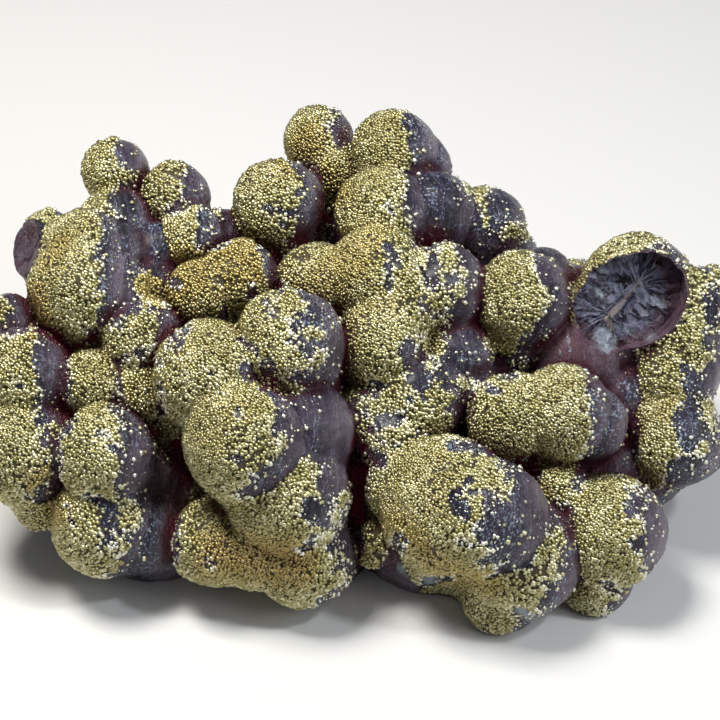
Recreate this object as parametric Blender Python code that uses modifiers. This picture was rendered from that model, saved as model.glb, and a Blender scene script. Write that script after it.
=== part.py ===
"""A botryoidal fluorite specimen with drusy pyrite crusts, resting on its flat cut base.

The fluorite is one mass: a heap of round lobes that grew out of a common root.
Pyrite settled on it from one side, so each crust covers the sides that face that way.

Lobes are laid out as they are seen on the display face, the side that a collector turns
to the viewer. It leans back, so a point on it is given by how far it lies across, up
and out of that face, and one rotation places it above the cut base.
"""

import math
import random
from collections import namedtuple

import bmesh
import bpy
from mathutils import Matrix, Vector
from mathutils.bvhtree import BVHTree
from mathutils.kdtree import KDTree

MM = 0.001

# Driving dimensions
FACE_ELEVATION = math.radians(42)   # a viewer square to the display face looks down this far
FACE_MIDDLE = (0.0, -7.0, 46.0)     # mm, the middle of the display face in the row frame
ROOT_SHARE = (0.72, 0.55)           # how far the roots draw in towards the middle, across and back
STALK_TOP_SHARE = 0.80              # of the lobe's radius, where the stalk meets the lobe
STALK_ROOT_SHARE = 1.05             # of the lobe's radius, at the root
BELOW_CUT = 6.0                     # mm, how far stalks run on below the cut before it is made
CRUST_GAP = 0.3                     # mm, between the fluorite and a crust
CRUST_THICKNESS = 0.9               # mm, one pyrite crystal deep
CRUST_LOWEST = 1.8                  # mm, above the cut
CRUST_LEAST_AREA = 150.0            # mm2, smaller patches are only scattered crystals
CRUST_APART = 3.0                   # mm, at least, between the fluorite under two crusts
CRUST_ROOM = 0.8                    # of its height, that a crust's outside keeps from the fluorite
RIM_SNAP = 0.5                      # mm, corners this near the rim of a crust stay whole
DEPOSIT = (-0.84, 0.10, 0.53)       # across, up, out: the side that the pyrite settled from

# Mesh sizes
BALL_DETAIL = 4                     # subdivisions of the balls that the lobes start as
STALK_SIDES = 24
VOXEL = 1.2                         # mm, of the remesh that fuses the lobes
FUSED_SMOOTHING = 5                 # passes over the fused surface
SMOOTH_SHARE = 0.5                  # of the way to its neighbours' middle, at each pass
FLUORITE_TRIANGLES = 5050           # wanted after thinning
LUMP_SIZE = 9.0                     # mm, of the low swellings over the lobes
LUMP_HEIGHT = 1.6                   # mm, from the lowest to the highest of them

Lobe = namedtuple("Lobe", "group centre radius reach")

# Lobes of the display face: across, up, out, radius in mm, and how far round from the
# deposit direction the pyrite reaches, in degrees (0 is a bare lobe).
FACE_LOBES = {
    "left_knobs": [
        (-62.5, 48.5, -20.0, 8.2, 82),
        (-47.0, 42.0, -17.0, 8.5, 84),
        (-62.0, 34.5, -15.0, 9.5, 74),
        (-52.0, 27.5, -12.0, 7.5, 0),
    ],
    "left_shoulder": [
        (-69.0, 26.0, -5.0, 11.5, 86),
        (-69.5, 17.5, 0.0, 13.0, 84),
        (-61.0, 16.0, -1.0, 9.0, 0),
        (-62.0, 27.5, -5.0, 7.0, 0),
        (-79.0, 33.0, -10.0, 5.0, 90),
        (-82.0, 28.0, -8.0, 7.0, 0),
        (-87.5, 10.5, 2.0, 6.0, 60),
    ],
    "left_saddle": [
        (-42.5, 31.0, -11.0, 8.0, 92),
        (-34.5, 33.0, -17.0, 5.5, 50),
        (-30.0, 20.5, -4.0, 9.5, 92),
        (-40.0, 17.0, -1.0, 8.0, 110),
        (-52.5, 17.0, -7.0, 7.5, 60),
        (-54.0, 5.5, 3.0, 10.0, 72),
    ],
    "upper_knobs": [
        (-10.5, 57.0, -29.0, 8.8, 88),
        (-5.5, 49.0, -25.0, 7.0, 110),
        (-20.5, 39.5, -15.0, 11.5, 84),
    ],
    "tower": [
        (9.0, 53.0, -22.0, 11.0, 84),
        (16.0, 50.0, -25.0, 7.5, 40),
        (6.0, 37.0, -12.0, 12.0, 88),
        (19.0, 38.0, -16.0, 10.5, 35),
        (33.0, 35.0, -20.0, 9.5, 50),
        (4.0, 20.5, -2.0, 12.5, 110),
        (10.5, 15.0, 1.0, 10.5, 90),
        (21.0, 18.0, -2.0, 11.0, 60),
        (-11.0, 19.5, -3.0, 9.5, 110),
        (5.5, 4.0, 4.0, 11.5, 100),
    ],
    "right_middle": [
        (41.0, 15.0, -3.0, 12.0, 84),
        (46.0, 19.5, -11.0, 9.0, 35),
        (53.5, 18.0, -14.0, 6.5, 0),
        (55.0, 0.0, -7.0, 11.5, 0),
        (24.0, 1.0, -2.0, 9.5, 45),
    ],
    "right_wing": [
        (70.0, 17.0, -5.0, 14.5, 90),
        (60.0, 12.0, -4.0, 8.0, 70),
        (88.0, 13.5, -6.0, 10.0, 84),
        (83.0, 4.0, -5.0, 9.5, 84),
        (80.0, -4.0, -5.0, 10.5, 86),
        (79.0, -20.0, -3.0, 12.0, 78),
        (86.0, -21.0, -6.0, 8.0, 40),
        (65.5, -10.0, -7.0, 8.5, 0),
        (63.0, -27.0, -4.0, 8.5, 0),
    ],
    "right_bolster": [
        (37.5, -14.0, 8.0, 10.5, 110),
        (50.5, -13.0, 9.0, 11.5, 96),
        (57.5, -16.0, 6.0, 9.0, 30),
    ],
    "middle_slope": [
        (15.0, -10.0, 4.0, 11.5, 84),
        (29.0, -10.0, 0.0, 7.5, 60),
        (9.5, -20.0, 6.0, 9.5, 90),
        (2.0, -14.0, 4.0, 8.0, 100),
        (4.0, -46.0, 4.0, 5.5, 90),
    ],
    "front_right": [
        (21.5, -35.5, 14.0, 16.5, 96),
        (31.5, -38.5, 18.0, 14.5, 84),
        (40.0, -49.0, 10.0, 14.5, 86),
        (35.0, -59.0, 5.0, 9.0, 90),
        (10.0, -31.0, 10.0, 8.5, 96),
        (62.0, -42.5, 6.0, 14.0, 100),
        (49.5, -32.5, 6.0, 7.5, 96),
        (59.0, -55.0, 0.0, 9.0, 92),
    ],
    "front_left": [
        (-17.0, 4.0, 12.0, 13.5, 78),
        (-37.0, -4.0, 13.0, 13.5, 104),
        (-28.0, -20.0, 21.0, 14.5, 88),
        (-14.0, -17.5, 12.0, 12.5, 30),
        (-17.5, -33.0, 14.0, 15.0, 84),
        (-36.0, -45.0, 8.0, 10.5, 105),
        (-14.0, -48.0, 7.0, 13.0, 92),
        (-25.5, -46.0, 8.0, 10.5, 110),
    ],
    "far_left": [
        (-62.5, -23.0, 12.0, 12.0, 86),
        (-63.0, -40.0, 5.0, 13.5, 88),
        (-55.0, -43.0, 4.0, 10.0, 30),
        (-84.0, -4.0, 3.0, 12.5, 84),
        (-83.0, -22.5, 5.0, 13.5, 86),
        (-79.0, -34.0, 1.0, 8.0, 90),
        (-66.0, -6.0, 5.0, 8.5, 100),
        (-54.0, -8.0, 4.0, 8.0, 90),
        (-45.0, -12.0, 2.0, 7.0, 90),
    ],
}

# The far side, out of sight on the display face: two rows of lobes along an arc
BACK_ROWS = [
    # height, arc's half-width, arc's depth behind the middle, count, radius in mm
    (43.0, 70.0, 43.0, 8, 11.0),
    (22.0, 78.0, 51.0, 9, 12.5),
]
BACK_START, BACK_END = math.radians(12), math.radians(168)
BACK_JITTER = 3.5                   # mm
BACK_REACH = (55, 100)              # degrees
BACK_SEED = 7

# The root mass under the lobes: x, y in mm in the row frame, radius across and height
BODY_BLOBS = [
    (-52.0, 2.0, 30.0, 44.0),
    (-20.0, 4.0, 36.0, 50.0),
    (16.0, 4.0, 36.0, 50.0),
    (50.0, 4.0, 30.0, 38.0),
]

# Where lobes are broken off, in mm on the display face: a point on the break, its outward
# direction, the direction that the break is longest in, and its length and width
BREAKS = {
    "wing_break": ((67.0, 15.5, -1.5), (0.10, -0.22, 0.97), (0.82, 0.57, 0.0), (29.0, 23.0)),
    "chip_break": ((-85.0, 28.0, -6.5), (-0.80, 0.15, 0.58), (0.0, 1.0, 0.0), (20.0, 16.0)),
}
BREAK_DEPTH = 22.0                  # mm, more than is broken off
BREAK_SIDES = 20
BREAK_FLAT = 0.4                    # mm, facets this near the break's plane belong to it
GROUND_SIZE = 300.0                 # mm, of the cutter that makes the flat base


def face_direction(across, up, out):
    """A direction given on the display face, in the row frame."""
    sin, cos = math.sin(FACE_ELEVATION), math.cos(FACE_ELEVATION)
    return Vector((across, up * sin - out * cos, up * cos + out * sin))


def face_point(across, up, out):
    """A point given on the display face in mm, in the row frame in metres."""
    return (face_direction(across, up, out) + Vector(FACE_MIDDLE)) * MM


def all_lobes():
    """Every lobe of the specimen, those on the far side too."""
    lobes = []
    for group, rows in FACE_LOBES.items():
        for across, up, out, radius, reach in rows:
            centre = face_point(across, up, out)
            lobes.append(Lobe(group, centre, radius * MM, math.radians(reach)))
    rng = random.Random(BACK_SEED)
    for height, half_width, depth, count, radius in BACK_ROWS:
        for i in range(count):
            turn = BACK_START + (BACK_END - BACK_START) * i / (count - 1)
            jitter = Vector([rng.uniform(-BACK_JITTER, BACK_JITTER) for _ in range(3)])
            place = Vector((half_width * math.cos(turn), depth * math.sin(turn), height))
            size = radius * rng.uniform(0.8, 1.15)
            reach = math.radians(rng.uniform(*BACK_REACH))
            lobes.append(Lobe("far_side", (place + jitter) * MM, size * MM, reach))
    return lobes


def clear_scene():
    for obj in list(bpy.data.objects):
        bpy.data.objects.remove(obj, do_unlink=True)


def collection(name):
    made = bpy.data.collections.new(name)
    bpy.context.scene.collection.children.link(made)
    return made


def material(name, colour, roughness, metallic=0.0):
    made = bpy.data.materials.new(name)
    made.use_nodes = True
    shader = made.node_tree.nodes["Principled BSDF"]
    shader.inputs["Base Color"].default_value = (*colour, 1.0)
    shader.inputs["Roughness"].default_value = roughness
    shader.inputs["Metallic"].default_value = metallic
    return made


def add_ball(bm, centre, radius, stretch=1.0):
    """A ball, or with stretch a ball that is drawn out upwards."""
    place = Matrix.Translation(centre) @ Matrix.Diagonal((1.0, 1.0, stretch, 1.0))
    bmesh.ops.create_icosphere(bm, subdivisions=BALL_DETAIL, radius=radius, matrix=place)


def add_stalk(bm, lobe):
    """The tapering stalk from a lobe down to the root that it grew from."""
    x, y = lobe.centre.x * ROOT_SHARE[0], lobe.centre.y * ROOT_SHARE[1]
    root = Vector((x, y, -BELOW_CUT * MM))
    run = lobe.centre - root
    lean = run.to_track_quat("Z", "Y").to_matrix().to_4x4()
    bmesh.ops.create_cone(
        bm,
        cap_ends=True,
        segments=STALK_SIDES,
        radius1=lobe.radius * STALK_ROOT_SHARE,
        radius2=lobe.radius * STALK_TOP_SHARE,
        depth=run.length,
        matrix=Matrix.Translation((lobe.centre + root) / 2) @ lean,
    )


def add_modifier(obj, kind, **settings):
    made = obj.modifiers.new(kind.title(), kind)
    for name, value in settings.items():
        setattr(made, name, value)
    return made


def evaluated_mesh(obj):
    graph = bpy.context.evaluated_depsgraph_get()
    return bpy.data.meshes.new_from_object(obj.evaluated_get(graph))


def settle(obj):
    """Makes the object's modifiers part of its mesh."""
    mesh = evaluated_mesh(obj)
    obj.modifiers.clear()
    obj.data = mesh


def cutter(name, cutters, bm, place):
    """A helper that a Boolean takes away."""
    mesh = bpy.data.meshes.new(name)
    bm.to_mesh(mesh)
    bm.free()
    obj = bpy.data.objects.new(name, mesh)
    obj.matrix_world = place
    obj.hide_render = True
    obj.display_type = "WIRE"
    cutters.objects.link(obj)
    return obj


def break_cutter(name, cutters, point, outward, along, size):
    """An oval plug whose inner end is the break."""
    normal = face_direction(*outward).normalized()
    side = normal.cross(face_direction(*along)).normalized()
    turn = Matrix((side.cross(normal), side, normal)).transposed().to_4x4()
    bm = bmesh.new()
    length, width = size
    oval = Matrix.Diagonal((length * MM, width * MM, BREAK_DEPTH * MM, 1.0))
    bmesh.ops.create_cone(
        bm, cap_ends=True, segments=BREAK_SIDES, radius1=0.5, radius2=0.5, depth=1.0, matrix=oval
    )
    bmesh.ops.recalc_face_normals(bm, faces=bm.faces)
    middle = face_point(*point) + normal * BREAK_DEPTH / 2 * MM
    return cutter(name, cutters, bm, Matrix.Translation(middle) @ turn)


def ground_cutter(cutters):
    """Everything under the flat cut that the specimen rests on."""
    bm = bmesh.new()
    bmesh.ops.create_cube(bm, size=GROUND_SIZE * MM)
    return cutter("ground", cutters, bm, Matrix.Translation((0, 0, -GROUND_SIZE * MM / 2)))


def lumps():
    """The texture of the low swellings."""
    made = bpy.data.textures.new("lumps", "CLOUDS")
    made.noise_scale = LUMP_SIZE * MM
    return made


def build_fluorite(lobes, parts, cutters, finish):
    """The fluorite mass: lobes and stalks fused, broken where the real one is, cut flat below."""
    bm = bmesh.new()
    for lobe in lobes:
        add_ball(bm, lobe.centre, lobe.radius)
        add_stalk(bm, lobe)
    for x, y, radius, height in BODY_BLOBS:
        add_ball(bm, Vector((x, y, 0.0)) * MM, radius * MM, height / radius)
    mesh = bpy.data.meshes.new("fluorite")
    bm.to_mesh(mesh)
    bm.free()
    fluorite = bpy.data.objects.new("fluorite", mesh)
    parts.objects.link(fluorite)
    add_modifier(fluorite, "REMESH", mode="VOXEL", voxel_size=VOXEL * MM)
    add_modifier(fluorite, "SMOOTH", factor=SMOOTH_SHARE, iterations=FUSED_SMOOTHING)
    add_modifier(fluorite, "DISPLACE", texture=lumps(), strength=LUMP_HEIGHT * MM)
    bpy.context.view_layer.update()
    settle(fluorite)
    triangles = sum(len(face.vertices) - 2 for face in fluorite.data.polygons)
    add_modifier(fluorite, "DECIMATE", ratio=FLUORITE_TRIANGLES / triangles)
    plugs = [break_cutter(name, cutters, *shape) for name, shape in BREAKS.items()]
    for plug in plugs + [ground_cutter(cutters)]:
        add_modifier(fluorite, "BOOLEAN", operation="DIFFERENCE", object=plug)
    bpy.context.view_layer.update()
    settle(fluorite)
    fluorite.data.materials.clear()
    fluorite.data.materials.append(finish)
    return fluorite


def nearest_lobe(point, lobes):
    return min(lobes, key=lambda l: (point - l.centre).length - l.radius)


def rim_middle(lobe, deposit):
    """The middle of the circle that the pyrite ends at on a lobe."""
    return lobe.centre + deposit * lobe.radius * math.cos(lobe.reach)


def is_broken(point):
    """Whether a point lies on one of the breaks."""
    for middle, outward, _, size in BREAKS.values():
        offset = point - face_point(*middle)
        above = offset.dot(face_direction(*outward).normalized())
        if abs(above) < BREAK_FLAT * MM and offset.length < max(size) / 2 * MM:
            return True
    return False


def covered_faces(bm, lobes):
    """The facets that pyrite covers, cut clean along the circle where it ends on each lobe."""
    deposit = face_direction(*DEPOSIT).normalized()
    own = [[] for _ in lobes]
    for face in bm.faces:
        face.material_index = 0
        centre = face.calc_center_median()
        if not is_broken(centre):
            own[lobes.index(nearest_lobe(centre, lobes))].append(face)
    for lobe, faces in zip(lobes, own):
        if not lobe.reach:
            continue
        middle = rim_middle(lobe, deposit)
        edges = {e for f in faces for e in f.edges}
        verts = {v for f in faces for v in f.verts}
        cut = bmesh.ops.bisect_plane(
            bm,
            geom=faces + list(edges) + list(verts),
            dist=RIM_SNAP * MM,
            plane_co=middle,
            plane_no=deposit,
        )
        for face in cut["geom"]:
            if isinstance(face, bmesh.types.BMFace):
                if (face.calc_center_median() - middle).dot(deposit) > 0:
                    face.material_index = 1
    bmesh.ops.triangulate(bm, faces=bm.faces)
    bm.normal_update()
    bm.verts.index_update()
    bm.faces.index_update()
    return {f for f in bm.faces if f.material_index == 1}


def covered_patches(covered):
    """The covered faces as connected patches, largest first."""
    left, patches = set(covered), []
    for first in sorted(covered, key=lambda f: f.index):
        if first not in left:
            continue
        left.remove(first)
        patch, edge = set(), [first]
        while edge:
            face = edge.pop()
            patch.add(face)
            beside = {f for e in face.edges for f in e.link_faces} & left
            left -= beside
            edge.extend(beside)
        patches.append(patch)
    return sorted(patches, key=lambda p: -sum(f.calc_area() for f in p))


def patch_name(patch, lobes, taken):
    """A patch is named for the group of lobes that most of it lies on."""
    counts = {}
    for face in patch:
        centre = face.calc_center_median()
        lobe = nearest_lobe(centre, lobes)
        counts[lobe.group] = counts.get(lobe.group, 0) + face.calc_area()
    group = max(counts, key=counts.get)
    taken[group] = taken.get(group, 0) + 1
    number = "" if taken[group] == 1 else f"_{taken[group]}"
    return f"pyrite_{group}{number}"


def roomy(faces, tree):
    """The facets over which a crust clears the fluorite, away from the tightest creases."""
    lift = (CRUST_GAP + CRUST_THICKNESS) * MM

    def clears(vert):
        near = tree.find_nearest(vert.co + vert.normal * lift)
        return near[3] >= CRUST_ROOM * lift

    open_verts = {v for f in faces for v in f.verts if clears(v)}
    return {f for f in faces if all(v in open_verts for v in f.verts)}


def apart(patch, placed):
    """The patch without the facets that come too near the crusts already placed."""
    if not placed:
        return patch
    tree = KDTree(len(placed))
    for i, point in enumerate(placed):
        tree.insert(point, i)
    tree.balance()
    near = {v for f in patch for v in f.verts if tree.find(v.co)[2] < CRUST_APART * MM}
    return {f for f in patch if not near & set(f.verts)}


def on_rim(edge, patch):
    return sum(f in patch for f in edge.link_faces) == 1


def unpinched(patch):
    """The patch without the facets at corners where its rim would touch itself."""
    while True:
        rim = {}
        for edge in {e for f in patch for e in f.edges}:
            if on_rim(edge, patch):
                for vert in edge.verts:
                    rim[vert] = rim.get(vert, 0) + 1
        pinched = {v for v, edges in rim.items() if edges > 2}
        if not pinched:
            return patch
        patch = {f for f in patch if not pinched & set(f.verts)}


def crust_shell(patch):
    """The closed crust over a patch: points, polygons, and the facet that each polygon is over."""
    points, low = [], {}
    for vert in sorted({v for f in patch for v in f.verts}, key=lambda v: v.index):
        low[vert] = len(points)
        points.append(vert.co + vert.normal * CRUST_GAP * MM)
        points.append(vert.co + vert.normal * (CRUST_GAP + CRUST_THICKNESS) * MM)
    polygons, facets = [], []
    for face in sorted(patch, key=lambda f: f.index):
        under = [low[v] for v in face.verts]
        polygons += [under[::-1], [i + 1 for i in under]]
        for loop in face.loops:
            if on_rim(loop.edge, patch):
                a, b = low[loop.vert], low[loop.link_loop_next.vert]
                polygons.append([a, b, b + 1, a + 1])
        facets += [face] * (len(polygons) - len(facets))
    return points, polygons, facets


def clear_of(patch, trees):
    """The patch without the facets whose crust would cut into another piece or itself."""
    while patch:
        points, polygons, facets = crust_shell(patch)
        shell = BVHTree.FromPolygons(points, polygons)
        struck = {facets[i] for tree in trees for i, _ in shell.overlap(tree)}
        for i, k in shell.overlap(shell):
            if not set(polygons[i]) & set(polygons[k]):
                struck |= {facets[i], facets[k]}
        if not struck:
            break
        patch = unpinched(patch - struck)
    return patch


def build_crust(name, points, polygons, parts, finish):
    mesh = bpy.data.meshes.new(name)
    mesh.from_pydata(points, [], polygons)
    mesh.materials.append(finish)
    parts.objects.link(bpy.data.objects.new(name, mesh))


def build_crusts(fluorite, lobes, parts, finish):
    """Pyrite crusts over the settled side of the fluorite's facets, one for each patch."""
    bm = bmesh.new()
    bm.from_mesh(fluorite.data)
    bmesh.ops.triangulate(bm, faces=bm.faces)
    trees = [BVHTree.FromBMesh(bm)]
    covered = covered_faces(bm, lobes)
    covered = {f for f in covered if min(v.co.z for v in f.verts) > CRUST_LOWEST * MM}
    taken, placed = {}, []
    for patch in covered_patches(roomy(covered, trees[0])):
        clear = clear_of(unpinched(apart(patch, placed)), trees)
        for part in covered_patches(clear):
            if sum(f.calc_area() for f in part) < CRUST_LEAST_AREA * MM * MM:
                continue
            points, polygons, _ = crust_shell(part)
            build_crust(patch_name(part, lobes, taken), points, polygons, parts, finish)
            trees.append(BVHTree.FromPolygons(points, polygons))
            placed += points[::2]
    bm.free()


def main():
    clear_scene()
    parts = collection("fluorite_specimen")
    cutters = collection("cutters")
    purple = material("purple_fluorite", (0.035, 0.024, 0.050), 0.35)
    brassy = material("brassy_pyrite", (0.52, 0.44, 0.22), 0.30, metallic=1.0)
    lobes = all_lobes()
    fluorite = build_fluorite(lobes, parts, cutters, purple)
    build_crusts(fluorite, lobes, parts, brassy)


main()
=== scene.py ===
import math
import random
import time

import bmesh
import bpy
import numpy as np
from mathutils import Matrix, Vector, noise
from mathutils.bvhtree import BVHTree
from mathutils.kdtree import KDTree


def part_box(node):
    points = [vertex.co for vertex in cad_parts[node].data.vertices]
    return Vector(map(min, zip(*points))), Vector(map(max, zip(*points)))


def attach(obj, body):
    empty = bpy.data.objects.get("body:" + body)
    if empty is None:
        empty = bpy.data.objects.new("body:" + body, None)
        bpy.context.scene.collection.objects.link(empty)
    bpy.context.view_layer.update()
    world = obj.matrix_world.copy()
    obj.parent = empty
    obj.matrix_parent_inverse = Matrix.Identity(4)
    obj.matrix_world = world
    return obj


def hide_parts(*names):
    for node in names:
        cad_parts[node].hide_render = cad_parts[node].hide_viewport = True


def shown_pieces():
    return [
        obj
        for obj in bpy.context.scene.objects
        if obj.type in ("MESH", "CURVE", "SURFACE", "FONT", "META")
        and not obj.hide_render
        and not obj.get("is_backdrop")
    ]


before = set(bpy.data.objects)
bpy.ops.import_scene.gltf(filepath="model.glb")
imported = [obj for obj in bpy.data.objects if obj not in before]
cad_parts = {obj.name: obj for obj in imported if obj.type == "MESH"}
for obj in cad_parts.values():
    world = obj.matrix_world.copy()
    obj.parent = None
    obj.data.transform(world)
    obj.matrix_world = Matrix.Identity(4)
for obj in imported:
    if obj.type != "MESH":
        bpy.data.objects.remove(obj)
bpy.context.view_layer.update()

started = time.time()
mm = 0.001


def say(stage):
    print(f"{stage}: {time.time() - started:.1f} s", flush=True)


# The display face, the side turned to the viewer. It leans back, and lobes and marks are
# given on it in mm: across, up and out. Everything is worked out in mm in the row frame.
face = {"elevation": 42.0, "middle": (0.0, -7.0, 46.0)}
leanSin = math.sin(math.radians(face["elevation"]))
leanCos = math.cos(math.radians(face["elevation"]))
faceAxes = np.array([[1, 0, 0], [0, leanSin, leanCos], [0, -leanCos, leanSin]])
faceMiddle = np.array(face["middle"])
viewDistance = 700.0  # mm, from which the display face is seen


def fromFace(place):
    return np.asarray(place, float) @ faceAxes + faceMiddle


def alongFace(direction):
    turned = np.asarray(direction, float) @ faceAxes
    return turned / np.linalg.norm(turned)


def toFace(points):
    return (points - faceMiddle) @ faceAxes.T


# Each lobe: across, up, out, radius, and how far round from the settled side its pyrite
# reaches in degrees, 0 for a bare lobe. The same rows as the solids have.
lobeRows = [
    # left knobs
    (-62.5, 48.5, -20, 8.2, 82), (-47, 42, -17, 8.5, 84), (-62, 34.5, -15, 9.5, 74),
    (-52, 27.5, -12, 7.5, 0),
    # left shoulder
    (-69, 26, -5, 11.5, 86), (-69.5, 17.5, 0, 13, 84), (-61, 16, -1, 9, 0),
    (-62, 27.5, -5, 7, 0), (-79, 33, -10, 5, 90), (-82, 28, -8, 7, 0), (-87.5, 10.5, 2, 6, 60),
    # left saddle
    (-42.5, 31, -11, 8, 92), (-34.5, 33, -17, 5.5, 50), (-30, 20.5, -4, 9.5, 92),
    (-40, 17, -1, 8, 110), (-52.5, 17, -7, 7.5, 60), (-54, 5.5, 3, 10, 72),
    # upper knobs
    (-10.5, 57, -29, 8.8, 88), (-5.5, 49, -25, 7, 110), (-20.5, 39.5, -15, 11.5, 84),
    # tower
    (9, 53, -22, 11, 84), (16, 50, -25, 7.5, 40), (6, 37, -12, 12, 88), (19, 38, -16, 10.5, 35),
    (33, 35, -20, 9.5, 50), (4, 20.5, -2, 12.5, 110), (10.5, 15, 1, 10.5, 90),
    (21, 18, -2, 11, 60), (-11, 19.5, -3, 9.5, 110), (5.5, 4, 4, 11.5, 100),
    # right middle
    (41, 15, -3, 12, 84), (46, 19.5, -11, 9, 35), (53.5, 18, -14, 6.5, 0), (55, 0, -7, 11.5, 0),
    (24, 1, -2, 9.5, 45),
    # right wing
    (70, 17, -5, 14.5, 90), (60, 12, -4, 8, 70), (88, 13.5, -6, 10, 84), (83, 4, -5, 9.5, 84),
    (80, -4, -5, 10.5, 86), (79, -20, -3, 12, 78), (86, -21, -6, 8, 40),
    (65.5, -10, -7, 8.5, 0), (63, -27, -4, 8.5, 0),
    # right bolster
    (37.5, -14, 8, 10.5, 110), (50.5, -13, 9, 11.5, 96), (57.5, -16, 6, 9, 30),
    # middle slope
    (15, -10, 4, 11.5, 84), (29, -10, 0, 7.5, 60), (9.5, -20, 6, 9.5, 90), (2, -14, 4, 8, 100),
    (4, -46, 4, 5.5, 90),
    # front right
    (21.5, -35.5, 14, 16.5, 96), (31.5, -38.5, 18, 14.5, 84), (40, -49, 10, 14.5, 86),
    (35, -59, 5, 9, 90), (10, -31, 10, 8.5, 96), (62, -42.5, 6, 14, 100),
    (49.5, -32.5, 6, 7.5, 96), (59, -55, 0, 9, 92),
    # front left
    (-17, 4, 12, 13.5, 78), (-37, -4, 13, 13.5, 104), (-28, -20, 21, 14.5, 88),
    (-14, -17.5, 12, 12.5, 30), (-17.5, -33, 14, 15, 84), (-36, -45, 8, 10.5, 105),
    (-14, -48, 7, 13, 92), (-25.5, -46, 8, 10.5, 110),
    # far left
    (-62.5, -23, 12, 12, 86), (-63, -40, 5, 13.5, 88), (-55, -43, 4, 10, 30),
    (-84, -4, 3, 12.5, 84), (-83, -22.5, 5, 13.5, 86), (-79, -34, 1, 8, 90),
    (-66, -6, 5, 8.5, 100), (-54, -8, 4, 8, 90), (-45, -12, 2, 7, 90),
]

# The far side's two rows of lobes: height, half-width, depth, count, radius
farRows = [(43.0, 70.0, 43.0, 8, 11.0), (22.0, 78.0, 51.0, 9, 12.5)]
farSide = {"start": 12.0, "end": 168.0, "jitter": 3.5, "reach": (55, 100), "seed": 7}

# The root mass: x, y, radius across, height
bodyBlobs = [
    (-52, 2, 30, 44), (-20, 4, 36, 50), (16, 4, 36, 50), (50, 4, 30, 38),
]

# Breaks, in mm: the middle of the broken face, its outward direction, the direction of its
# length, its length and width, the line along both that its blades spread from, how strongly
# it is bladed, and how hollow it is
breaks = {
    "wing": {
        "middle": (67.0, 15.5, -1.5), "facing": (0.10, -0.22, 0.97), "along": (0.82, 0.57, 0.0),
        "size": (29, 23), "root": (3.9, 1.5, -6.0, -0.8), "bladed": 1.0, "hollow": 0.0,
    },
    "chip": {
        "middle": (-85.0, 28.0, -6.5), "facing": (-0.80, 0.15, 0.58), "along": (0.0, 1.0, 0.0),
        "size": (20, 16), "root": (3.0, 9.0, 6.0, 9.0), "bladed": 0.3, "hollow": 1.2,
    },
}


def lobeTable():
    # Centres, radii and reaches of all lobes, those of the far side last
    centres = [fromFace(row[:3]) for row in lobeRows]
    radii = [row[3] for row in lobeRows]
    reaches = [row[4] for row in lobeRows]
    draw = random.Random(farSide["seed"])
    for height, halfWidth, depth, count, radius in farRows:
        for i in range(count):
            span = farSide["end"] - farSide["start"]
            turn = math.radians(farSide["start"] + span * i / (count - 1))
            jitter = [draw.uniform(-farSide["jitter"], farSide["jitter"]) for _ in range(3)]
            place = np.array((halfWidth * math.cos(turn), depth * math.sin(turn), height))
            radii.append(radius * draw.uniform(0.8, 1.15))
            centres.append(place + jitter)
            reaches.append(draw.uniform(*farSide["reach"]))
    return np.array(centres), np.array(radii), np.array(reaches)


fluorite = {
    "rootShare": (0.72, 0.55),   # how far stalk roots draw in towards the middle
    "belowCut": 6.0,             # mm that the stalks run on below the cut
    "stalkTop": 0.80,            # of the lobe's radius
    "stalkRoot": 1.05,
    "voxel": 0.92,               # mm, spacing of the skin's points
    "triangles": 185000,         # kept of the skin, most of them where it bends most
    "creaseBlend": 0.7,          # mm, how far neighbouring lobes melt together
    "swell": (0.55, 8.0),        # mm, height and size of the broad swellings
    "wrinkle": (0.30, 2.2),      # mm, the same of the growth wrinkles
    "ledge": (0.35, 2.6),        # mm, and of the growth ledges
    "breakRings": 34,            # points of the broken faces, out from the middle
    "breakSteps": 150,           # and round it
    "plugHeight": 14.0,          # mm, past the lobe that it breaks
    "blades": 27.0,              # cleavage blades round a break
    "bladeLength": 3.4,          # mm
    "bladeTilt": 0.85,           # how far they tilt
    "bladeStep": 0.9,            # mm, steps between them
    "bladeSpread": 9.0,          # mm from the root up to which they widen
    "probes": ((1.5, 0.35), (4.0, 0.35), (9.0, 0.30)),  # mm out, and its share in the creases
    "rimLightSide": (0.93, -0.15, -0.2),  # the side where a paler rim of light is painted on the lobes: across, up, out
}

centres, radii, reaches = lobeTable()
roots = centres * (*fluorite["rootShare"], 0.0)
roots[:, 2] = -fluorite["belowCut"]
stalkRuns = centres - roots
stalkSquares = (stalkRuns ** 2).sum(1)
blobCentres = np.array([(x, y, 0.0) for x, y, radius, height in bodyBlobs])
blobSizes = np.array([(radius, radius, height) for x, y, radius, height in bodyBlobs])


def lengths(vectors):
    return np.linalg.norm(vectors, axis=-1, keepdims=True)


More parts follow.
